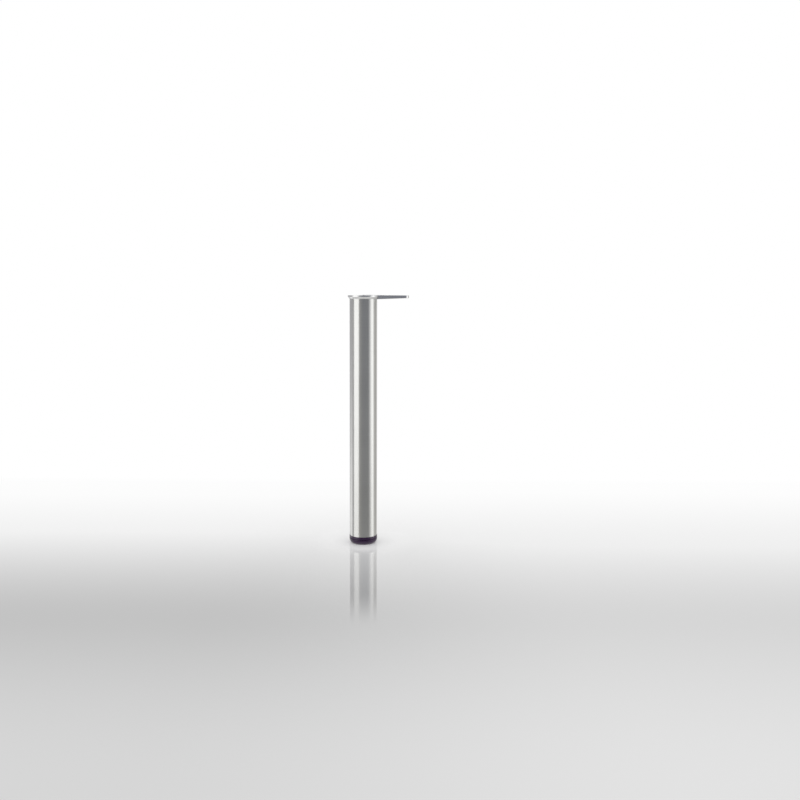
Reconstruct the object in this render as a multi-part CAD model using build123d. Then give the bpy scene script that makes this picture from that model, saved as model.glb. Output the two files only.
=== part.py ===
from build123d import *
import math
import os

# Round table leg: a steel tube on a cast corner plate, with a screw foot.
# Millimetres and degrees. The origin is on the floor under the tube's axis, with +Z up.
# The plate's arms run along +X and +Y, and the leg is symmetric about the plane between them.

# Tube
leg_height = 725.0  # floor to the table's underside, with the foot screwed right in
tube_diameter = 80.0
tube_wall = 1.5
tube_edge = 0.4  # rounding of the sawn ends

# Collar of the mounting plate
collar_overhang = 5.0  # rim beyond the tube
collar_rim = 4.0  # straight rim above the cone
collar_height = 9.5  # plate's top face to the tube's upper end
collar_step = 0.4  # lower edge of the cone beyond the tube
collar_rounding = 0.8

# Spigot that the tube slides over
spigot_clearance = 0.2  # radial
spigot_length = 34.0
spigot_wall = 4.0
spigot_lead = 1.5  # chamfer that starts the tube
hub_floor = 5.0  # ring that closes the spigot under the table
hub_opening = 24.0  # cored hole in the middle of that ring

# Arms of the mounting plate
arm_reach = 131.0  # axis to tip
arm_tip_radius = 13.0
arm_side = 8.0  # outer side beyond the tube's axis
arm_depth_root = 11.0  # at the collar
arm_depth_tip = 7.5
arm_rounding = 1.0  # lower edges
arm_wall = 3.0
arm_skin = 3.5
arm_rib = 2.5
web_reach = 70.0  # axis to the hollow edge between the arms

# Wood screw holes, countersunk from below
screw_hole = 5.5
screw_head = 10.5
screw_boss = 14.0
screw_inset = 21.0  # collar rim to the inner hole of each arm
hub_screw_circle = 44.0
hub_screw_count = 3

# Set screws that lock the tube on the spigot
clamp_diameter = 8.0
clamp_length = 12.0
clamp_point = 1.0  # chamfer at the end that meets the tube
clamp_hex = 4.0  # across flats
clamp_hex_depth = 5.0
clamp_thread_clearance = 0.05  # radial
clamp_boss = 15.0
clamp_boss_spare = 1.8  # thread behind the screw
clamp_drop = 18.0  # below the tube's upper end
clamp_spread = 30.0  # to each side of the plane between the arms
clamp_access = 5.0  # hole in the tube for the hex key

# Plug in the tube's lower end
foot_proud = 0.6  # plug flange and pad beyond the tube
plug_clearance = 0.1  # radial, in the tube
plug_flange = 7.5
plug_length = 30.0  # inside the tube
plug_wall = 3.0
plug_floor = 6.0
plug_lead = 1.5
plug_boss = 30.0
plug_boss_height = 26.0
plug_rib = 3.0
plug_rib_height = 20.0
plug_rib_count = 6
plug_rounding = 0.8

# Nut in the plug
nut_flats = 17.0
nut_height = 8.0
nut_recess = 1.0  # below the plug's lower face
nut_clearance = 0.1  # each side, in the plug
nut_chamfer = 0.6

# Stud of the foot
stud_diameter = 10.0
stud_clearance = 0.05  # radial and axial running fit
stud_hole_clearance = 0.4  # radial, in the plug
stud_head = 24.0
stud_head_height = 5.0
stud_spare = 3.0  # above the nut with the foot screwed right out
stud_point = 1.0
foot_travel = 25.0

# Pad
pad_height = 14.5
pad_gap = 1.0  # dark line between pad and plug
pad_side = 1.5  # straight side above the bowl
pad_taper = 7.2  # base in from the straight side
pad_rounding = 2.0  # lower edge
pad_edge = 0.7  # upper edge
pad_floor = 5.0
pad_wall = 6.0
pad_boss = 34.0
pad_stop_gap = 0.3  # boss to plug, screwed right in
pad_rib = 2.5
pad_rib_drop = 2.0  # ribs below the pad's upper edge
pad_rib_count = 8

# Radii and heights that follow
tube_radius = tube_diameter / 2
bore_radius = tube_radius - tube_wall
collar_radius = tube_radius + collar_overhang
cone_foot_radius = tube_radius + collar_step
spigot_radius = bore_radius - spigot_clearance
spigot_inner = spigot_radius - spigot_wall
foot_radius = tube_radius + foot_proud
plug_radius = bore_radius - plug_clearance
stud_radius = stud_diameter / 2
pad_stud_radius = stud_radius + stud_clearance

plug_bottom = pad_height + pad_gap
tube_bottom = plug_bottom + plug_flange
tube_top = leg_height - collar_height
spigot_bottom = tube_top - spigot_length
clamp_height = tube_top - clamp_drop
nut_bottom = plug_bottom + nut_recess
nut_top = nut_bottom + nut_height
stud_top = nut_top + foot_travel + stud_spare
head_bottom = pad_floor + stud_clearance
head_top = head_bottom + stud_head_height

# Places in plan
diagonal = 45.0
tip_along = arm_reach - arm_tip_radius
tip_across = arm_tip_radius - arm_side
inner_along = collar_radius + screw_inset
arm_screws = [
    (inner_along, tip_across),
    (tip_along, tip_across),
    (tip_across, inner_along),
    (tip_across, tip_along),
]
clamp_angles = [diagonal - clamp_spread, diagonal + clamp_spread]

UPWARDS = (Align.CENTER, Align.CENTER, Align.MIN)


def turned(*points):
    """Solid of revolution about Z from (radius, height) points."""
    profile = make_face(Polyline(*points, close=True))
    return revolve(Plane.XZ * profile, Axis.Z)


def rod(radius, bottom, top):
    """Upright cylinder on the tube's axis."""
    return Pos(0, 0, bottom) * Cylinder(radius, top - bottom, align=UPWARDS)


def hexagon(flats, bottom, top):
    """Upright hexagonal prism on the tube's axis."""
    face = RegularPolygon(flats / 2, 6, major_radius=False)
    return Pos(0, 0, bottom) * extrude(face, amount=top - bottom)


def radial(angle, height, start):
    """Place whose Z axis points outwards from the tube's axis at an angle and height."""
    return Rot(0, 0, angle) * Pos(start, 0, height) * Rot(0, 90, 0)


def spokes(count, thickness, inner, outer, bottom, top):
    """Upright ribs that run outwards, evenly spaced."""
    length = outer - inner
    rib = Box(length, thickness, top - bottom, align=(Align.MIN, Align.CENTER, Align.MIN))
    ribs = Part()
    for step in range(count):
        ribs += Rot(0, 0, step * 360 / count) * Pos(inner, 0, bottom) * rib
    return ribs


def circles_at(shape, height, radius):
    """Circular edges of a shape at a height and radius."""
    rounds = shape.edges().filter_by(GeomType.CIRCLE)
    return rounds.filter_by(lambda e: math.isclose(e.radius, radius, abs_tol=1e-4)
                            and math.isclose(e.center().Z, height, abs_tol=1e-4))


def arm_outline(inset):
    """Plan of both arms and the web between them, with its edge moved in by an inset."""
    radius = arm_tip_radius - inset
    side = arm_side - inset
    tip = Vector(tip_along, tip_across)
    tip_depth = (tip.X + tip.Y) / math.sqrt(2)
    tip_spread = (tip.X - tip.Y) / math.sqrt(2)
    short = tip_depth - web_reach
    web_radius = (tip_spread**2 + short**2 - arm_tip_radius**2) / (2 * (arm_tip_radius + short))
    forward = Vector(math.cos(math.radians(diagonal)), math.sin(math.radians(diagonal)))
    web_centre = forward * (web_reach + web_radius)
    to_web = (web_centre - tip).normalized()
    tip_start = tip - Vector(0, radius)
    tip_middle = tip + Vector(radius, 0)
    tip_end = tip + to_web * radius
    web_middle = web_centre - forward * (web_radius + inset)
    edges = [
        Line((-side, -side), tip_start),
        ThreePointArc(tip_start, tip_middle, tip_end),
        ThreePointArc(tip_end, web_middle, swapped(tip_end)),
        ThreePointArc(swapped(tip_end), swapped(tip_middle), swapped(tip_start)),
        Line(swapped(tip_start), (-side, -side)),
    ]
    return make_face(edges)


def swapped(point):
    """Point mirrored in the plane between the arms."""
    return Vector(point.Y, point.X)


def arm_depth(radius):
    """Depth of the arms' sloping underside below the plate's top face."""
    slope = (arm_depth_tip - arm_depth_root) / (arm_reach - collar_radius)
    return arm_depth_root + slope * (radius - collar_radius)


def above_slope(lift):
    """Space between the plate's top face and the arms' underside, raised by a lift."""
    far = arm_reach + arm_tip_radius
    root = leg_height - arm_depth_root + lift
    return turned(
        (0, leg_height),
        (far, leg_height),
        (far, leg_height - arm_depth(far) + lift),
        (collar_radius, root),
        (0, root),
    )


def arm_blank():
    """Solid arms with a sloping, rounded underside, open around the tube."""
    plan = Pos(0, 0, leg_height) * arm_outline(0)
    arms = extrude(plan, amount=arm_depth_root, dir=(0, 0, -1)) & above_slope(0)
    slope = arms.faces().filter_by(GeomType.CONE)[0]
    root = leg_height - arm_depth_root
    rim = slope.edges().filter_by(lambda e: not math.isclose(e.bounding_box().max.Z, root, abs_tol=1e-4)
                                  or not math.isclose(e.bounding_box().min.Z, root, abs_tol=1e-4))
    arms = fillet(rim, arm_rounding)
    return arms - rod(cone_foot_radius, root, leg_height)


def arm_pockets():
    """Hollows in the arms' upper side, between walls, ribs and screw bosses."""
    plan = Pos(0, 0, leg_height) * arm_outline(arm_wall)
    pockets = extrude(plan, amount=arm_depth_root, dir=(0, 0, -1)) & above_slope(arm_skin)
    floor = leg_height - arm_depth_root
    pockets -= rod(collar_radius, floor, leg_height)
    across_rib = Box(tip_along, arm_rib, arm_depth_root, align=(Align.MIN, Align.CENTER, Align.MIN))
    along_rib = Box(arm_rib, tip_along, arm_depth_root, align=(Align.CENTER, Align.MIN, Align.MIN))
    pockets -= Pos(0, tip_across, floor) * across_rib
    pockets -= Pos(tip_across, 0, floor) * along_rib
    pockets -= Pos(0, 0, floor) * Rot(0, 0, diagonal) * across_rib
    for x, y in arm_screws:
        pockets -= Pos(x, y, 0) * rod(screw_boss / 2, floor, leg_height)
    return pockets


def screw_cut(depth):
    """Countersunk through hole for a wood screw, for a floor of the given depth."""
    below = leg_height - depth
    sink = (screw_head - screw_hole) / 2
    return turned(
        (0, leg_height),
        (screw_hole / 2, leg_height),
        (screw_hole / 2, below + sink),
        (screw_head / 2, below),
        (screw_head / 2, below - sink),
        (0, below - sink),
    )


def make_mounting_plate():
    """Die casting with collar, spigot, arms and the bosses for the set screws."""
    hub = turned(
        (hub_opening / 2, leg_height),
        (collar_radius, leg_height),
        (collar_radius, leg_height - collar_rim),
        (cone_foot_radius, tube_top),
        (spigot_radius, tube_top),
        (spigot_radius, spigot_bottom + spigot_lead),
        (spigot_radius - spigot_lead, spigot_bottom),
        (spigot_inner, spigot_bottom),
        (spigot_inner, leg_height - hub_floor),
        (hub_opening / 2, leg_height - hub_floor),
    )
    hub = fillet(circles_at(hub, leg_height - collar_rim, collar_radius), collar_rounding)
    boss_start = spigot_radius - clamp_length - clamp_boss_spare
    boss_length = spigot_inner + spigot_wall / 2 - boss_start
    boss = Cylinder(clamp_boss / 2, boss_length, align=UPWARDS)
    thread_hole = Cylinder(clamp_diameter / 2 + clamp_thread_clearance, bore_radius, align=UPWARDS)
    for angle in clamp_angles:
        hub += radial(angle, clamp_height, boss_start) * boss
        hub -= radial(angle, clamp_height, 0) * thread_hole
    plate = hub + arm_blank() - arm_pockets()
    for x, y in arm_screws:
        plate -= Pos(x, y, 0) * screw_cut(arm_depth(math.hypot(x, y)))
    for step in range(hub_screw_count):
        angle = diagonal + 180 + step * 360 / hub_screw_count
        plate -= Rot(0, 0, angle) * Pos(hub_screw_circle / 2, 0, 0) * screw_cut(hub_floor)
    return plate


def make_clamp_screws():
    """Hex socket set screws, backed out until they press on the tube's inside."""
    body = Cylinder(clamp_diameter / 2, clamp_length, align=UPWARDS)
    body = chamfer(body.edges().group_by(Axis.Z)[-1], clamp_point)
    socket = extrude(RegularPolygon(clamp_hex / 2, 6, major_radius=False), amount=clamp_hex_depth)
    body -= Pos(0, 0, clamp_length - clamp_hex_depth) * socket
    screws = Part()
    for angle in clamp_angles:
        screws += radial(angle, clamp_height, spigot_radius - clamp_length) * body
    return screws


def make_leg_tube():
    """Tube with rounded ends and the two holes that the hex key goes through."""
    tube = rod(tube_radius, tube_bottom, tube_top) - rod(bore_radius, tube_bottom, tube_top)
    tube = fillet(tube.edges().filter_by(GeomType.CIRCLE), min(tube_edge, tube_wall / 3))
    access = Cylinder(clamp_access / 2, collar_radius, align=UPWARDS)
    for angle in clamp_angles:
        tube -= radial(angle, clamp_height, 0) * access
    return tube


def make_foot_plug():
    """Moulded plug with a flange, a ribbed cup inside the tube and a pocket for the nut."""
    skirt_top = tube_bottom + plug_length
    floor_top = plug_bottom + plug_floor
    cup_radius = plug_radius - plug_wall
    plug = turned(
        (0, plug_bottom),
        (foot_radius, plug_bottom),
        (foot_radius, tube_bottom),
        (plug_radius, tube_bottom),
        (plug_radius, skirt_top - plug_lead),
        (plug_radius - plug_lead, skirt_top),
        (cup_radius, skirt_top),
        (cup_radius, floor_top),
        (0, floor_top),
    )
    plug = fillet(circles_at(plug, plug_bottom, foot_radius), plug_rounding)
    plug += rod(plug_boss / 2, floor_top, plug_bottom + plug_boss_height)
    rib_top = floor_top + plug_rib_height
    plug += spokes(plug_rib_count, plug_rib, stud_diameter, plug_radius - plug_wall / 2, floor_top, rib_top)
    plug -= hexagon(nut_flats + 2 * nut_clearance, plug_bottom, nut_top)
    return plug - rod(stud_radius + stud_hole_clearance, plug_bottom, skirt_top)


def make_plug_nut():
    """Hex nut with both faces chamfered."""
    corner = nut_flats / math.sqrt(3)
    nut = hexagon(nut_flats, nut_bottom, nut_top)
    nut &= turned(
        (0, nut_bottom),
        (corner - 2 * nut_chamfer, nut_bottom),
        (corner, nut_bottom + nut_chamfer),
        (corner, nut_top - nut_chamfer),
        (corner - 2 * nut_chamfer, nut_top),
        (0, nut_top),
    )
    return nut - rod(stud_radius + stud_clearance, nut_bottom, nut_top)


def make_foot_stud():
    """Stud with a round head inside the pad and its thread as a plain rod."""
    return turned(
        (0, head_bottom),
        (stud_head / 2, head_bottom),
        (stud_head / 2, head_top),
        (stud_radius, head_top),
        (stud_radius, stud_top - stud_point),
        (stud_radius - stud_point, stud_top),
        (0, stud_top),
    )


def make_foot_pad():
    """Moulded pad, bowl-shaped outside, hollow and ribbed on top, around the stud's head."""
    cup_radius = foot_radius - pad_wall
    boss_top = plug_bottom - pad_stop_gap
    base_radius = foot_radius - pad_taper
    base = Vector(base_radius, 0)
    side = Vector(foot_radius, pad_height - pad_side)
    top = Vector(foot_radius, pad_height)
    bowl = TangentArc(side, base, tangent=(0, -1))
    outline = make_face([bowl, Polyline(base, (0, 0), (0, pad_height), top, side)])
    pad = revolve(Plane.XZ * outline, Axis.Z)
    pad = fillet(circles_at(pad, 0, base_radius), pad_rounding)
    pad = fillet(circles_at(pad, pad_height, foot_radius), min(pad_edge, pad_side / 2))
    pad -= rod(cup_radius, pad_floor, pad_height)
    pad += rod(pad_boss / 2, pad_floor, boss_top)
    middle = (stud_head + pad_boss) / 4
    rib_top = pad_height - pad_rib_drop
    pad += spokes(pad_rib_count, pad_rib, middle, cup_radius + pad_wall / 2, pad_floor, rib_top)
    pad -= rod(stud_head / 2 + stud_clearance, pad_floor, head_top + stud_clearance)
    return pad - rod(pad_stud_radius, pad_floor, boss_top)


parts = {
    "mounting_plate": make_mounting_plate(),
    "clamp_screws": make_clamp_screws(),
    "leg_tube": make_leg_tube(),
    "foot_plug": make_foot_plug(),
    "plug_nut": make_plug_nut(),
    "foot_stud": make_foot_stud(),
    "foot_pad": make_foot_pad(),
}

os.makedirs("parts", exist_ok=True)
for name, shape in parts.items():
    export_step(shape, f"parts/{name}.step")
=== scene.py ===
"""Looks, light and camera for a round table leg with a cast corner plate and a screw foot."""
import logging
import math
from dataclasses import dataclass
from enum import Enum
from typing import Any, Union

import bpy
from mathutils import Matrix, Vector


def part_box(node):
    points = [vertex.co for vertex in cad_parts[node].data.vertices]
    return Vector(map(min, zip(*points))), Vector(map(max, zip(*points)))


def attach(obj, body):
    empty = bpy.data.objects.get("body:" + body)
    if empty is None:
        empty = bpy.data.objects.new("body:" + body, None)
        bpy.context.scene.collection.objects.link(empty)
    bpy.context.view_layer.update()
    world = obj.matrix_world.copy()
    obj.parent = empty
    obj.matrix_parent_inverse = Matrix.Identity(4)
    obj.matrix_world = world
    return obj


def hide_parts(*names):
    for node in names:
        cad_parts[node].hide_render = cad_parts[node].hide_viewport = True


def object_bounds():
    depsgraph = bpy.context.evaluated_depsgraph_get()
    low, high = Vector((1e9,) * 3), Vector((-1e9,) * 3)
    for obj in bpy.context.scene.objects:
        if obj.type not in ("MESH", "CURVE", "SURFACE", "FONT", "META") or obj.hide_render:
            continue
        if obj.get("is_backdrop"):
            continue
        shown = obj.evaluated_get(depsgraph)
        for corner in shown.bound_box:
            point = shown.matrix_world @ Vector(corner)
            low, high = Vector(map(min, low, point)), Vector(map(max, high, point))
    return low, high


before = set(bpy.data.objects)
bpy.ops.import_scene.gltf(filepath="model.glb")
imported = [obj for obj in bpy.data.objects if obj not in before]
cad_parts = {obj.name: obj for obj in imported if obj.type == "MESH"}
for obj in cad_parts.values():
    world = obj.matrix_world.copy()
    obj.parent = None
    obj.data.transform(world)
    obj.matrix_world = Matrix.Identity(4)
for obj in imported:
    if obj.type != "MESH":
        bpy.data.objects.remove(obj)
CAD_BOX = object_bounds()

MM = 0.001
HALF = 0.5
FULL_TURN = 2 * math.pi
IMAGE_WIDTH_PX = 800.0

Triple = tuple[float, float, float]
Colour = Triple
Span = tuple[float, float]
Number = Union["Signal", float, int]
Key = Union[str, int]

WHITE: Colour = (1.0, 1.0, 1.0)
SOFT_LIGHT = 0.85

# A Mix node has one set of sockets for each type, so its colours go by number.
MIX_SHARE, MIX_FIRST, MIX_SECOND, MIX_RESULT = 0, 6, 7, 2

log = logging.getLogger("table_leg")


class Sum(Enum):
    """Operations of a Math node that the finishes and the thread use."""

    ADD = "ADD"
    SUBTRACT = "SUBTRACT"
    MULTIPLY = "MULTIPLY"
    DIVIDE = "DIVIDE"
    MINIMUM = "MINIMUM"
    MAXIMUM = "MAXIMUM"
    LESS_THAN = "LESS_THAN"
    FRACT = "FRACT"
    ABSOLUTE = "ABSOLUTE"
    ROUND = "ROUND"
    SINE = "SINE"
    COSINE = "COSINE"


class Ray(Enum):
    """Kinds of ray that the Light Path node tells apart."""

    CAMERA = "Is Camera Ray"
    GLOSSY = "Is Glossy Ray"
    TRANSMISSION = "Is Transmission Ray"
    SHARP = "Is Singular Ray"


class Signal:
    """A node's output socket that takes part in Python expressions."""

    def __init__(self, book: "NodeBook", socket: bpy.types.NodeSocket) -> None:
        """Wraps one output socket of a book's tree."""
        self.book = book
        self.socket = socket

    def sibling(self, out: Key) -> "Signal":
        """Gives another output of the same node."""
        return Signal(self.book, self.socket.node.outputs[out])

    def __add__(self, other: Number) -> "Signal":
        """Adds a value."""
        return self.book.sum(Sum.ADD, self, other)

    def __radd__(self, other: Number) -> "Signal":
        """Adds this to a value."""
        return self.book.sum(Sum.ADD, other, self)

    def __sub__(self, other: Number) -> "Signal":
        """Takes a value away."""
        return self.book.sum(Sum.SUBTRACT, self, other)

    def __rsub__(self, other: Number) -> "Signal":
        """Takes this away from a value."""
        return self.book.sum(Sum.SUBTRACT, other, self)

    def __mul__(self, other: Number) -> "Signal":
        """Multiplies by a value."""
        return self.book.sum(Sum.MULTIPLY, self, other)

    def __rmul__(self, other: Number) -> "Signal":
        """Multiplies a value by this."""
        return self.book.sum(Sum.MULTIPLY, other, self)

    def __truediv__(self, other: Number) -> "Signal":
        """Divides by a value."""
        return self.book.sum(Sum.DIVIDE, self, other)

    def __rtruediv__(self, other: Number) -> "Signal":
        """Divides a value by this."""
        return self.book.sum(Sum.DIVIDE, other, self)

    def __abs__(self) -> "Signal":
        """Drops the sign."""
        return self.book.sum(Sum.ABSOLUTE, self)

    def __round__(self) -> "Signal":
        """Rounds to the nearest whole number."""
        return self.book.sum(Sum.ROUND, self)

    def below(self, other: Number) -> "Signal":
        """Gives 1 where this is less than a value and 0 elsewhere."""
        return self.book.sum(Sum.LESS_THAN, self, other)

    def at_most(self, other: Number) -> "Signal":
        """Gives the smaller of the two."""
        return self.book.sum(Sum.MINIMUM, self, other)

    def at_least(self, other: Number) -> "Signal":
        """Gives the larger of the two."""
        return self.book.sum(Sum.MAXIMUM, self, other)

    def centred(self) -> "Signal":
        """Moves the middle of a pattern from one half to 0."""
        return self - HALF

    def clipped(self) -> "Signal":
        """Keeps this between 0 and 1."""
        return self.at_least(0.0).at_most(1.0)

    def step(self, low: float, high: float) -> "Signal":
        """Gives a smooth step from 0 at the low value to 1 at the high one."""
        share = ((self - low) / (high - low)).clipped()
        return share * share * (3.0 - 2.0 * share)


class NodeBook:
    """Builds the nodes of one tree."""

    def __init__(self, tree: bpy.types.NodeTree) -> None:
        """Takes over a tree and empties it."""
        self.tree = tree
        tree.nodes.clear()

    def node(
        self, kind: str, settings: dict[str, Any], values: dict[Key, Any], out: Key = 0,
    ) -> Signal:
        """Adds a node, sets it up and joins its sockets.

        Args:
            kind: The node's type.
            settings: Its properties, set before its sockets are used.
            values: Numbers, tuples or signals for its input sockets.
            out: The output socket to hand back.

        Returns:
            That output, or the node's first input where it has no output.
        """
        made = self.tree.nodes.new(kind)
        for name, setting in settings.items():
            setattr(made, name, setting)
        for key, value in values.items():
            if isinstance(value, Signal):
                self.tree.links.new(value.socket, made.inputs[key])
            else:
                made.inputs[key].default_value = value
        return Signal(self, made.outputs[out] if len(made.outputs) else made.inputs[0])

    def sum(self, operation: Sum, first: Number, second: Number = 0.0) -> Signal:
        """Adds one Math node, which may need no second value."""
        return self.node("ShaderNodeMath", {"operation": operation.value}, {0: first, 1: second})

    def part(self, vector: Signal, axis: str) -> Signal:
        """Gives one part of a vector, with the other two as its siblings."""
        return self.node("ShaderNodeSeparateXYZ", {}, {0: vector}, axis)

    def mixed(self, share: Number, first: Any, second: Any) -> Signal:
        """Mixes two colours, with the second one's share from 0 to 1."""
        values = {MIX_SHARE: share, MIX_FIRST: first, MIX_SECOND: second}
        return self.node("ShaderNodeMix", {"data_type": "RGBA"}, values, MIX_RESULT)

    def place(self, scale: Triple = (1.0, 1.0, 1.0)) -> Signal:
        """Gives Object coordinates, stretched along X, Y and Z."""
        point = self.node("ShaderNodeTexCoord", {}, {}, "Object")
        return self.node("ShaderNodeMapping", {}, {"Vector": point, "Scale": scale})

    def noise(self, scale: Triple, detail: float = 2.0, rough: float = 0.5) -> Signal:
        """Gives a cloudy pattern from 0 to 1, its scale in patches per metre."""
        values = {"Vector": self.place(scale), "Scale": 1.0, "Detail": detail, "Roughness": rough}
        return self.node("ShaderNodeTexNoise", {"noise_dimensions": "3D"}, values)

    def bump(self, height: Number, strength: float, depth: float) -> Signal:
        """Turns a height pattern from 0 to 1, with its depth in metres, into a normal."""
        values = {"Height": height, "Strength": strength, "Distance": depth}
        return self.node("ShaderNodeBump", {}, values, "Normal")

    def surface(self, values: dict[Key, Any]) -> Signal:
        """Adds the main shader with values for its sockets."""
        return self.node("ShaderNodeBsdfPrincipled", {}, values)

    def blend(self, share: Number, first: Signal, second: Signal) -> Signal:
        """Mixes two shaders, with the second one's share from 0 to 1."""
        return self.node("ShaderNodeMixShader", {}, {0: share, 1: first, 2: second})

    def show(self, shader: Signal) -> None:
        """Joins a shader to the material's output."""
        self.node("ShaderNodeOutputMaterial", {}, {"Surface": shader})


def new_material(name: str) -> tuple[bpy.types.Material, NodeBook]:
    """Makes an empty node material.

    Args:
        name: The material's name.

    Returns:
        The material and the book that fills its tree.
    """
    material = bpy.data.materials.new(name)
    material.use_nodes = True
    return material, NodeBook(material.node_tree)


def opaque(colour: Colour) -> tuple[float, float, float, float]:
    """Adds a full alpha to a colour."""
    return (*colour, 1.0)


def darker(colour: Colour, share: float) -> Colour:
    """Keeps a share of a colour's brightness."""
    red, green, blue = colour
    return (share * red, share * green, share * blue)


def link(obj: bpy.types.Object) -> bpy.types.Object:
    """Puts an object in the scene."""
    bpy.context.scene.collection.objects.link(obj)
    return obj


@dataclass(frozen=True)
class BrushedSteel:
    """Stainless steel brushed around the tube, so that its lights stretch along the axis."""

    name: str = "brushed_steel"
    colour: Colour = (0.68, 0.68, 0.675)
    dull_colour: Colour = (0.60, 0.60, 0.595)
    roughness: float = 0.30
    line_roughness: float = 0.07
    cloud_roughness: float = 0.05
    stretch: float = 0.95
    stretch_turn: float = 0.25
    lines_per_metre: float = 3200.0
    line_run_per_metre: float = 14.0
    clouds_per_metre: float = 9.0
    line_depth: float = 0.02 * MM
    line_strength: float = 0.25
    line_share: float = 0.6
    tone_span: Span = (0.3, 0.7)

    def material(self) -> bpy.types.Material:
        """Builds the finish.

        Returns:
            The material.
        """
        made, book = new_material(self.name)
        run = self.line_run_per_metre
        lines = book.noise((run, run, self.lines_per_metre), detail=3.0, rough=0.65)
        clouds = book.noise((self.clouds_per_metre,) * 3)
        tone = (self.line_share * lines + (1.0 - self.line_share) * clouds).step(*self.tone_span)
        uneven = self.line_roughness * lines.centred() + self.cloud_roughness * clouds.centred()
        book.show(book.surface({
            "Base Color": book.mixed(tone, opaque(self.dull_colour), opaque(self.colour)),
            "Metallic": 1.0,
            "Roughness": self.roughness + uneven,
            "Anisotropic": self.stretch,
            "Anisotropic Rotation": self.stretch_turn,
            "Normal": book.bump(lines, self.line_strength, self.line_depth),
        }))
        return made


@dataclass(frozen=True)
class SatinCasting:
    """Zinc casting with a satin plated face and a rough, unplated look in its hollows."""

    name: str = "satin_casting"
    plated: Colour = (0.74, 0.74, 0.75)
    raw: Colour = (0.40, 0.40, 0.41)
    top_face: float = 0.725
    plated_roughness: float = 0.27
    raw_roughness: float = 0.52
    skin_per_metre: float = 900.0
    skin_span: Span = (0.35, 0.65)
    skin_shade: float = 0.8
    skin_roughness: float = 0.03
    skin_depth: float = 0.04 * MM
    skin_strength: float = 0.18
    plated_skin: float = 0.35
    flow_per_metre: float = 45.0
    flow_span: Span = (0.3, 0.7)
    flow_shade: float = 0.92
    flow_roughness: float = 0.06
    hollow_depth: float = 0.5 * MM
    hollow_slope: Span = (0.2, 0.8)

    def material(self) -> bpy.types.Material:
        """Builds the finish.

        Returns:
            The material.
        """
        made, book = new_material(self.name)
        up = book.part(book.node("ShaderNodeNewGeometry", {}, {}, "Normal"), "Z")
        height = book.part(book.place(), "Z")
        skin = book.noise((self.skin_per_metre,) * 3, detail=3.0)
        flow = book.noise((self.flow_per_metre,) * 3, detail=3.0, rough=0.6)
        sunk = height.below(self.top_face - self.hollow_depth) * up.step(*self.hollow_slope)
        dull = opaque(darker(self.plated, self.flow_shade))
        plated = book.mixed(flow.step(*self.flow_span), dull, opaque(self.plated))
        pitted = opaque(darker(self.raw, self.skin_shade))
        raw = book.mixed(skin.step(*self.skin_span), pitted, opaque(self.raw))
        uneven = self.flow_roughness * flow.centred() + self.skin_roughness * skin.centred()
        coarser = self.raw_roughness - self.plated_roughness
        relief = skin * (self.plated_skin + sunk)
        book.show(book.surface({
            "Base Color": book.mixed(sunk, plated, raw),
            "Metallic": 1.0,
            "Roughness": self.plated_roughness + uneven + sunk * coarser,
            "Normal": book.bump(relief, self.skin_strength, self.skin_depth),
        }))
        return made


@dataclass(frozen=True)
class BlackMoulding:
    """Black moulded plastic with a fine spark-eroded grain and pale scuffs near the floor."""

    name: str = "black_moulding"
    colour: Colour = (0.025, 0.004, 0.042)
    worn_colour: Colour = (0.050, 0.026, 0.068)
    roughness: float = 0.34
    grain_per_metre: float = 2600.0
    grain_span: Span = (0.55, 0.8)
    grain_share: float = 0.12
    grain_roughness: float = 0.06
    grain_depth: float = 0.05 * MM
    grain_strength: float = 0.22
    patches_per_metre: float = 60.0
    patch_roughness: float = 0.08
    scuffs_per_metre: float = 420.0
    scuff_flatness: float = 3.0
    scuff_height: float = 4.0 * MM
    scuff_span: Span = (0.52, 0.66)
    scuff_share: float = 0.7
    worn_roughness: float = 0.12

    def material(self) -> bpy.types.Material:
        """Builds the finish.

        Returns:
            The material.
        """
        made, book = new_material(self.name)
        sideways = self.scuffs_per_metre
        upwards = self.scuff_flatness * sideways
        grain = book.noise((self.grain_per_metre,) * 3, rough=0.6)
        patches = book.noise((self.patches_per_metre,) * 3, detail=3.0)
        scuffs = book.noise((sideways, sideways, upwards), detail=3.0, rough=0.7)
        low = 1.0 - book.part(book.place(), "Z").step(0.0, self.scuff_height)
        scuffed = self.scuff_share * low * scuffs.step(*self.scuff_span)
        worn = scuffed + self.grain_share * grain.step(*self.grain_span)
        uneven = self.patch_roughness * patches.centred() + self.grain_roughness * grain.centred()
        book.show(book.surface({
            "Base Color": book.mixed(worn, opaque(self.colour), opaque(self.worn_colour)),
            "Roughness": self.roughness + uneven + self.worn_roughness * worn,
            "Normal": book.bump(grain, self.grain_strength, self.grain_depth),
        }))
        return made


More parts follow.
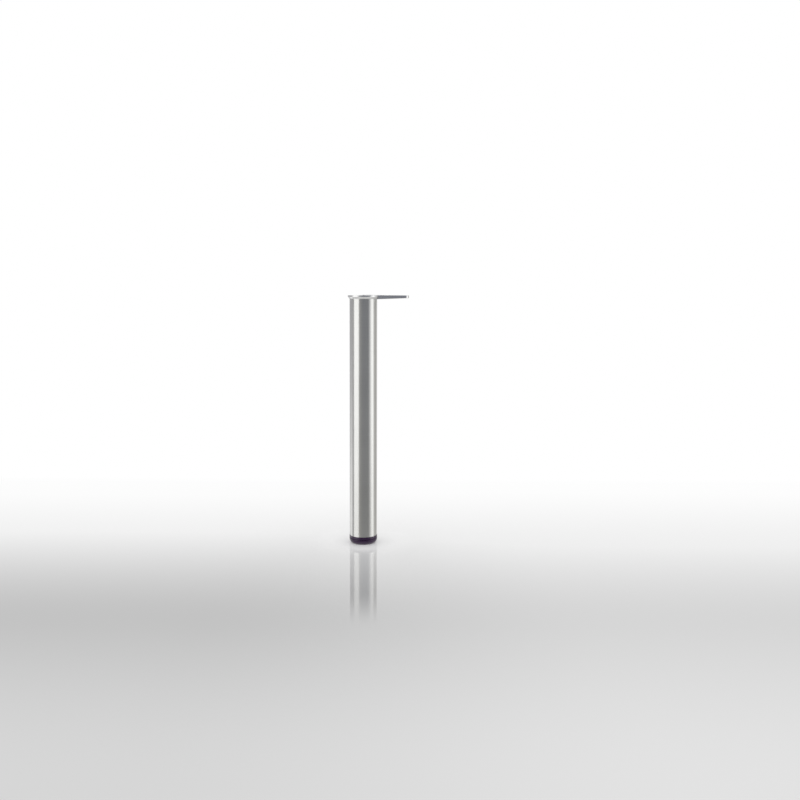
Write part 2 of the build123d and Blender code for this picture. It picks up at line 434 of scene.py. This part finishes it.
@dataclass(frozen=True)
class ZincPlate:
    """Bright zinc plated steel, a little blue, with cloudy patches."""

    name: str = "zinc_plate"
    colour: Colour = (0.64, 0.66, 0.68)
    warm_colour: Colour = (0.66, 0.64, 0.58)
    roughness: float = 0.30
    clouds_per_metre: float = 140.0
    cloud_span: Span = (0.35, 0.7)
    cloud_roughness: float = 0.12
    specks_per_metre: float = 2200.0
    speck_roughness: float = 0.05
    speck_depth: float = 0.02 * MM
    speck_strength: float = 0.15

    def material(self) -> bpy.types.Material:
        """Builds the finish.

        Returns:
            The material.
        """
        made, book = new_material(self.name)
        clouds = book.noise((self.clouds_per_metre,) * 3, detail=3.0)
        specks = book.noise((self.specks_per_metre,) * 3)
        warm = clouds.step(*self.cloud_span)
        uneven = self.cloud_roughness * clouds.centred() + self.speck_roughness * specks.centred()
        book.show(book.surface({
            "Base Color": book.mixed(warm, opaque(self.colour), opaque(self.warm_colour)),
            "Metallic": 1.0,
            "Roughness": self.roughness + uneven,
            "Normal": book.bump(specks, self.speck_strength, self.speck_depth),
        }))
        return made


@dataclass(frozen=True)
class BlackOxide:
    """Blackened steel with worn, brighter specks."""

    name: str = "black_oxide"
    colour: Colour = (0.030, 0.030, 0.032)
    bare_colour: Colour = (0.16, 0.16, 0.165)
    metal_share: float = 0.6
    roughness: float = 0.42
    specks_per_metre: float = 1500.0
    speck_roughness: float = 0.08
    speck_depth: float = 0.02 * MM
    speck_strength: float = 0.2
    bare_span: Span = (0.58, 0.72)
    bare_polish: float = 0.1

    def material(self) -> bpy.types.Material:
        """Builds the finish.

        Returns:
            The material.
        """
        made, book = new_material(self.name)
        specks = book.noise((self.specks_per_metre,) * 3, detail=3.0, rough=0.6)
        bare = specks.step(*self.bare_span)
        uneven = self.speck_roughness * specks.centred()
        book.show(book.surface({
            "Base Color": book.mixed(bare, opaque(self.colour), opaque(self.bare_colour)),
            "Metallic": self.metal_share + (1.0 - self.metal_share) * bare,
            "Roughness": self.roughness - self.bare_polish * bare + uneven,
            "Normal": book.bump(specks, self.speck_strength, self.speck_depth),
        }))
        return made


Finish = Union[BrushedSteel, SatinCasting, BlackMoulding, ZincPlate, BlackOxide]


@dataclass
class PackedPiece:
    """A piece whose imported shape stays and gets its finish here."""

    node: str
    finish: Finish

    def dress(self) -> bpy.types.Object:
        """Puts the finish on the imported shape.

        Returns:
            The dressed object.
        """
        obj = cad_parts[self.node]
        obj.material_slots[0].material = self.finish.material()
        return obj


@dataclass
class CornerPlate(PackedPiece):
    """Cast plate with its collar, spigot and two arms."""

    node: str = "mounting_plate"
    finish: Finish = SatinCasting()


@dataclass
class LockingScrews(PackedPiece):
    """Two set screws that lock the tube on the spigot."""

    node: str = "clamp_screws"
    finish: Finish = BlackOxide()


@dataclass
class LegTube(PackedPiece):
    """Round tube."""

    node: str = "leg_tube"
    finish: Finish = BrushedSteel()


@dataclass
class TubePlug(PackedPiece):
    """Moulded plug in the tube's lower end."""

    node: str = "foot_plug"
    finish: Finish = BlackMoulding(name="black_moulding_plug", scuff_height=16.2 * MM)


@dataclass
class PlugNut(PackedPiece):
    """Hex nut in the plug."""

    node: str = "plug_nut"
    finish: Finish = ZincPlate(name="zinc_plate_nut")


@dataclass
class FootPad(PackedPiece):
    """Moulded pad that stands on the floor."""

    node: str = "foot_pad"
    finish: Finish = BlackMoulding(name="black_moulding_pad")


@dataclass
class FootStud:
    """Threaded stud of the screw foot, from its head in the pad to its point in the tube."""

    name: str = "threaded_stud"
    replaced: str = "foot_stud"
    body: str = "stud"
    slot: str = "plated_steel"
    finish: ZincPlate = ZincPlate()
    pitch: float = 1.5 * MM
    thread_depth: float = 0.92 * MM
    head_height: float = 5.0 * MM
    shank_radius: float = 5.0 * MM
    point: float = 1.0 * MM
    run_out: float = 3.0 * MM
    crest: float = 1 / 8
    root: float = 1 / 4
    columns: int = 48
    rows_per_turn: int = 14
    rim_row: int = 1
    seat_row: int = 2
    shank_row: int = 3
    weld: float = 0.001 * MM
    crease: float = 35.0

    def build(self) -> bpy.types.Object:
        """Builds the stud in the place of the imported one.

        Returns:
            The stud's object, riding on its body.
        """
        low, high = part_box(self.replaced)
        material = self.finish.material()
        turns = (high.z - low.z - self.head_height) / self.pitch
        sizes = {
            "Columns": self.columns,
            "Rows": int(turns * self.rows_per_turn) + self.shank_row + 1,
            "Head radius": high.x,
            "Head bottom": low.z,
            "Head top": low.z + self.head_height,
            "Top": high.z,
            "Shank radius": self.shank_radius,
            "Thread depth": self.thread_depth,
            "Pitch": self.pitch,
            "Point": self.point,
            "Run out": self.run_out,
            "Finish": material,
        }
        empty = bpy.data.meshes.new("stud_carrier")
        carrier = link(bpy.data.objects.new("stud_carrier", empty))
        modifier = carrier.modifiers.new("thread", "NODES")
        modifier.node_group = self.thread_tree(sizes)
        for item in modifier.node_group.interface.items_tree:
            if item.in_out == "INPUT" and item.name in sizes:
                modifier[item.identifier] = sizes[item.name]
        evaluated = carrier.evaluated_get(bpy.context.evaluated_depsgraph_get())
        mesh = bpy.data.meshes.new_from_object(evaluated)
        carrier.modifiers.remove(modifier)
        bpy.data.objects.remove(carrier)
        mesh.name = self.name
        mesh.polygons.foreach_set("use_smooth", [True] * len(mesh.polygons))
        mesh.set_sharp_from_angle(angle=math.radians(self.crease))
        stud = link(bpy.data.objects.new(self.name, mesh))
        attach(stud, self.body)
        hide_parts(self.replaced)
        self.slot
        return stud

    def thread_tree(self, sizes: dict[str, Any]) -> bpy.types.NodeTree:
        """Builds the tree that wraps a flat grid into a headed stud with a thread.

        The grid's rows run up the stud: the middle of the head's underside, the head's
        rim, its seat at the shank, the shank and the middle of the stud's top.

        Args:
            sizes: The names of the tree's inputs, with a sample of each value.

        Returns:
            The tree.
        """
        tree = bpy.data.node_groups.new("stud_thread", "GeometryNodeTree")
        kinds = {int: "NodeSocketInt", float: "NodeSocketFloat"}
        for name, value in sizes.items():
            kind = kinds.get(type(value), "NodeSocketMaterial")
            tree.interface.new_socket(name, in_out="INPUT", socket_type=kind)
        tree.interface.new_socket("Stud", in_out="OUTPUT", socket_type="NodeSocketGeometry")
        book = NodeBook(tree)
        given = book.node("NodeGroupInput", {}, {})
        size = {name: given.sibling(name) for name in sizes}
        grid = book.node("GeometryNodeMeshGrid", {}, {
            "Size X": 1.0, "Size Y": 1.0,
            "Vertices X": size["Columns"] + 1, "Vertices Y": size["Rows"] + 1,
        })
        flat = book.part(book.node("GeometryNodeInputPosition", {}, {}), "X")
        turn = flat + HALF
        row = round((flat.sibling("Y") + HALF) * size["Rows"])
        share = ((row - self.shank_row) / (size["Rows"] - (self.shank_row + 1))).clipped()
        on_shank = size["Head top"] + share * (size["Top"] - size["Head top"])
        under_head = row.below(self.rim_row + HALF)
        height = under_head * size["Head bottom"] + (1.0 - under_head) * on_shank
        off_crest = abs(2.0 * book.sum(Sum.FRACT, height / size["Pitch"] - turn) - 1.0)
        cut = ((off_crest - self.crest) / (1.0 - self.crest - self.root)).clipped()
        fade = ((height - size["Head top"]) / size["Run out"]).clipped()
        thread = size["Shank radius"] - size["Thread depth"] * cut * fade
        shank = thread.at_most(size["Shank radius"] - size["Point"] + (size["Top"] - height))
        on_head = row.below(self.seat_row + HALF)
        on_axis = row.below(HALF) + (size["Rows"] - HALF).below(row)
        radius = (1.0 - on_axis) * (on_head * size["Head radius"] + (1.0 - on_head) * shank)
        angle = turn * FULL_TURN
        wrapped = book.node("ShaderNodeCombineXYZ", {}, {
            "X": radius * book.sum(Sum.COSINE, angle),
            "Y": radius * book.sum(Sum.SINE, angle),
            "Z": height,
        })
        formed = book.node("GeometryNodeSetPosition", {}, {"Geometry": grid, "Position": wrapped})
        seams = {"Geometry": formed, "Distance": self.weld}
        welded = book.node("GeometryNodeMergeByDistance", {}, seams)
        plain = book.node("GeometryNodeRealizeInstances", {}, {"Geometry": welded})
        coat = {"Geometry": plain, "Material": size["Finish"]}
        dressed = book.node("GeometryNodeSetMaterial", {}, coat)
        book.node("NodeGroupOutput", {}, {0: dressed})
        return tree


@dataclass
class StudioFloor:
    """Pale floor with painted shade before the leg and to its left, a painted light ring round the
    foot, and a faint mirror image before the leg, fading into the white behind it.
    """

    half_side: float = 12.0
    soft_light: float = SOFT_LIGHT
    shade: float = 0.37
    shade_reach: Span = (-0.7, 0.40)
    # faint painted shade that runs on behind the leg
    painted_shade_tail: float = 0.025
    painted_shade_tail_reach: Span = (0.3, 1.5)
    left_shade: float = 1.18
    right_shade: float = 0.85
    side_reach: Span = (-0.35, 0.6)
    front_relief: float = 0.3
    front_reach: Span = (0.5, 1.3)
    white_reach: Span = (-0.3, 0.9)
    horizon_reach: Span = (1.6, 5.5)
    mirror: float = 0.31
    mirrored_white: float = 1.0
    mirror_side: Span = (0.06, 0.17)
    mirror_front: Span = (0.42, 0.68)
    mirror_back: Span = (0.0, 0.2)
    mirror_slant: Span = (0.35, 0.65)
    foot_mirror: float = 0.4
    foot_reach: Span = (0.07, 0.14)
    # painted light: how much brighter the floor is painted in a ring round the foot
    painted_foot_light: float = 0.11
    painted_foot_light_reach: Span = (0.04, 0.18)
    least_share: float = 0.01
    slant_blend: float = 0.5
    roughness: float = 0.0

    def build(self) -> bpy.types.Object:
        """Builds the floor at the pad's lowest height.

        Returns:
            The floor, marked as stage and left out of the metal's reflections.
        """
        half = self.half_side
        mesh = bpy.data.meshes.new("studio_floor")
        corners = [(-half, -half), (half, -half), (half, half), (-half, half)]
        mesh.from_pydata([(x, y, 0.0) for x, y in corners], [], [(0, 1, 2, 3)])
        floor = link(bpy.data.objects.new("studio_floor", mesh))
        floor.visible_glossy = False
        mesh.materials.append(self.material())
        floor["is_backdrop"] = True
        return floor

    def material(self) -> bpy.types.Material:
        """Builds the floor's finish, clear from below.

        The tone that shows is pale with painted shade, darker before the leg and to its left, with
        a faint painted tail of it behind the leg.
        The paint is worked out from that tone, less the white that the mirror and the fade to the
        backdrop add to it, and is brightened in a painted light ring round the foot.

        Returns:
            The material.
        """
        made, book = new_material("pale_floor")
        back = book.part(book.place(), "Y")
        right = back.sibling("X")
        forward = 0.0 - back
        flat = book.place((1.0, 1.0, 0.0))
        away = book.node("ShaderNodeVectorMath", {"operation": "LENGTH"}, {0: flat}, "Value")
        to_right = right.step(*self.side_reach)
        # Painted shade: the floor is painted darker towards the camera and to the leg's left, with
        # a faint painted tail of it behind the leg.
        side = self.left_shade + (self.right_shade - self.left_shade) * to_right
        front = 1.0 - self.front_relief * forward.step(*self.front_reach)
        painted_shade_tail = self.painted_shade_tail * (1.0 - back.step(*self.painted_shade_tail_reach))
        shade = self.shade * (1.0 - back.step(*self.shade_reach)) + painted_shade_tail
        backdrop = back.step(*self.white_reach)
        white_share = backdrop.at_least(away.step(*self.horizon_reach))
        tone = 1.0 - side * front * shade / (1.0 - backdrop).at_least(self.least_share)
        at_foot = self.foot_mirror + (1.0 - self.foot_mirror) * away.step(*self.foot_reach)
        facing = book.node("ShaderNodeLayerWeight", {}, {"Blend": self.slant_blend}, "Facing")
        lengthways = (1.0 - back.step(*self.mirror_back)) * (1.0 - forward.step(*self.mirror_front))
        in_zone = lengthways * (1.0 - abs(right).step(*self.mirror_side))
        shine = self.mirror * at_foot * facing.step(*self.mirror_slant) * in_zone
        # Painted light: the paint is brightened in a ring round the foot, standing in for light
        # that the tube throws onto the floor.
        foot_light_gain = 1.0 + self.painted_foot_light * (1.0 - away.step(*self.painted_foot_light_reach))
        matt_tone = foot_light_gain * (tone - self.mirrored_white * shine)
        paint = (matt_tone / (self.soft_light * (1.0 - shine))).clipped()
        matt = book.surface({"Base Color": paint, "Roughness": 1.0, "Specular IOR Level": 0.0})
        polish = {"Color": opaque(WHITE), "Roughness": self.roughness}
        gloss = book.node("ShaderNodeBsdfGlossy", {}, polish)
        white = book.node("ShaderNodeEmission", {}, {"Color": opaque(WHITE), "Strength": 1.0})
        faded = book.blend(white_share, book.blend(shine, matt, gloss), white)
        clear = book.node("ShaderNodeBsdfTransparent", {}, {})
        under = book.node("ShaderNodeNewGeometry", {}, {}, "Backfacing")
        book.show(book.blend(under, faded, clear))
        return made


@dataclass
class StudioRoom:
    """Room that the leg mirrors: white behind it, grey beside it, dark on the camera's side.

    The camera and the floor's sharp mirror see plain white instead.
    """

    soft_light: float = SOFT_LIGHT
    camera_side: Colour = (0.228, 0.240, 0.280)
    camera_left: Colour = (0.448, 0.448, 0.452)
    left_reach: Span = (0.0, 0.607)
    camera_low: Colour = (0.268, 0.259, 0.206)
    low_reach: Span = (0.16, 0.25)
    beside_left: Colour = (0.48, 0.48, 0.49)
    beside_right: Colour = (0.575, 0.572, 0.545)
    across_reach: Span = (-0.4, 0.4)
    beside_reach: Span = (-0.35, 0.35)
    behind: Colour = WHITE
    behind_reach: Span = (0.75, 1.0)
    below: Colour = (0.80, 0.80, 0.78)
    below_reach: Span = (0.45, 0.8)

    def build(self) -> bpy.types.World:
        """Builds the world.

        Returns:
            The world, set on the scene.
        """
        world = bpy.data.worlds.new("studio_room")
        world.use_nodes = True
        book = NodeBook(world.node_tree)
        way = book.node("ShaderNodeTexCoord", {}, {}, "Generated")
        back = book.part(way, "Y")
        left = 0.0 - back.sibling("X")
        down = 0.0 - back.sibling("Z")
        rays = book.node("ShaderNodeLightPath", {}, {}, Ray.CAMERA.value)
        mirrored = rays.sibling(Ray.GLOSSY.value).at_least(rays.sibling(Ray.TRANSMISSION.value))
        to_left = left.step(*self.left_reach)
        ahead = book.mixed(to_left, opaque(self.camera_side), opaque(self.camera_left))
        front = book.mixed(down.step(*self.low_reach), ahead, opaque(self.camera_low))
        across = left.step(*self.across_reach)
        beside = book.mixed(across, opaque(self.beside_right), opaque(self.beside_left))
        sides = book.mixed(back.step(*self.beside_reach), front, beside)
        graded = book.mixed(back.step(*self.behind_reach), sides, opaque(self.behind))
        floored = book.mixed(down.step(*self.below_reach), graded, opaque(self.below))
        lit = book.mixed(mirrored, opaque((self.soft_light,) * 3), floored)
        in_view = rays.at_least(rays.sibling(Ray.SHARP.value))
        seen = book.mixed(in_view, lit, opaque(WHITE))
        sky = book.node("ShaderNodeBackground", {}, {"Color": seen, "Strength": 1.0})
        book.node("ShaderNodeOutputWorld", {}, {"Surface": sky})
        bpy.context.scene.world = world
        return world


@dataclass
class Softbox:
    """Tall soft panel that lights the leg alone and fades to clear at its edges.

    The floor's sharp mirror doesn't show it.
    """

    name: str
    azimuth: float
    half_angle: float
    brightness: float
    near_fade: float
    far_fade: float
    low_share: float
    high_share: float = 1.0
    lean: float = 0.0
    rise: Span = (-0.5, 0.15)
    distance: float = 1.8
    bottom: float = -0.8
    top: float = 2.1
    colour: Colour = (1.0, 1.0, 0.98)

    def build(self, lit: bpy.types.Collection) -> bpy.types.Object:
        """Builds the panel, facing the leg.

        Args:
            lit: The pieces that it lights.

        Returns:
            The panel, marked as stage and hidden from the camera.
        """
        turn = math.radians(self.azimuth)
        outwards = Vector((math.sin(turn), -math.cos(turn), 0.0))
        to_camera = math.copysign(1.0, -self.azimuth)
        across = Vector((math.cos(turn), math.sin(turn), 0.0)) * to_camera
        half = self.distance * math.tan(math.radians(self.half_angle))
        middle = outwards * self.distance
        corners = [middle + side * half * across for side in (-1, 1, 1, -1)]
        heights = (self.bottom, self.bottom, self.top, self.top)
        mesh = bpy.data.meshes.new(self.name)
        points = [(corner.x, corner.y, z) for corner, z in zip(corners, heights)]
        mesh.from_pydata(points, [], [(0, 1, 2, 3)])
        mesh.materials.append(self.material(across, half))
        panel = link(bpy.data.objects.new(self.name, mesh))
        panel.visible_camera = False
        panel.visible_diffuse = False
        panel.visible_shadow = False
        panel.light_linking.receiver_collection = lit
        panel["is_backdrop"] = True
        return panel

    def material(self, across: Vector, half: float) -> bpy.types.Material:
        """Builds the panel's light.

        Args:
            across: Direction along the panel, towards the camera's side.
            half: Half the panel's width in metres.

        Returns:
            The material.
        """
        made, book = new_material(self.name + "_light")
        place = book.place()
        slant = (*(across / half).xy, -self.lean)
        settings = {"operation": "DOT_PRODUCT"}
        along = book.node("ShaderNodeVectorMath", settings, {0: place, 1: slant}, "Value")
        high = book.part(place, "Z").step(*self.rise)
        sides = (1.0 - along).step(0.0, self.near_fade) * (1.0 + along).step(0.0, self.far_fade)
        level = self.low_share + (self.high_share - self.low_share) * high
        glow = {"Color": opaque(self.colour), "Strength": self.brightness}
        light = book.node("ShaderNodeEmission", {}, glow)
        clear = book.node("ShaderNodeBsdfTransparent", {}, {})
        in_floor = book.node("ShaderNodeLightPath", {}, {}, Ray.SHARP.value)
        book.show(book.blend(sides * level * (1.0 - in_floor), clear, light))
        return made


@dataclass
class LevelCamera:
    """Camera a little above the plate, in front of the leg."""

    place: Triple = (0.1063, -2.6, 0.755)
    pitch: float = 6.27
    roll: float = 0.253
    focal_px: float = 901.5
    sensor: float = 36.0
    drop: float = -0.02

    def build(self) -> bpy.types.Object:
        """Builds the camera and makes it the scene's.

        Returns:
            The camera's object.
        """
        data = bpy.data.cameras.new("photo_camera")
        data.sensor_width = self.sensor
        data.lens = self.focal_px * self.sensor / IMAGE_WIDTH_PX
        data.shift_y = self.drop
        camera = link(bpy.data.objects.new("photo_camera", data))
        tilt = Matrix.Rotation(math.radians(90.0 - self.pitch), 4, "X")
        lean = Matrix.Rotation(math.radians(self.roll), 4, "Z")
        camera.matrix_world = Matrix.Translation(self.place) @ tilt @ lean
        bpy.context.scene.camera = camera
        return camera


def write_sizes() -> None:
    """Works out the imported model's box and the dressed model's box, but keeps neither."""
    boxes = {"cad": CAD_BOX, "visual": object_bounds()}
    {name: [list(low), list(high)] for name, (low, high) in boxes.items()}


def main() -> None:
    """Dresses each sub-assembly, then sets the stage, the lamps and the camera."""
    logging.basicConfig(level=logging.INFO, format="%(name)s: %(message)s")
    lit = bpy.data.collections.new("leg_pieces")
    for piece in (CornerPlate(), LockingScrews(), LegTube(), TubePlug(), PlugNut(), FootPad()):
        dressed = piece.dress()
        lit.objects.link(dressed)
        log.info("dressed %s", dressed.name)
    stud = FootStud().build()
    lit.objects.link(stud)
    log.info("built %s", stud.name)
    log.info("stage %s", StudioFloor().build().name)
    log.info("world %s", StudioRoom().build().name)
    for panel in (
        Softbox(
            "left_softbox", azimuth=-59.2, half_angle=26.2, brightness=1.55,
            near_fade=0.3, far_fade=0.15, low_share=0.97, lean=0.08,
        ),
        Softbox(
            "right_softbox", azimuth=77.2, half_angle=34.6, brightness=2.12,
            near_fade=1.6, far_fade=1.04, low_share=0.94, lean=0.08,
        ),
        Softbox(
            "low_softbox", azimuth=-121.0, half_angle=30.0, brightness=1.48,
            near_fade=0.8, far_fade=0.7, low_share=0.9, high_share=0.0, rise=(-0.5, 0.5),
        ),
    ):
        log.info("lamp %s", panel.build(lit).name)
    log.info("camera %s", LevelCamera().build().name)
    bpy.context.scene.view_settings.view_transform = "Standard"
    write_sizes()


if __name__ == "__main__":
    main()
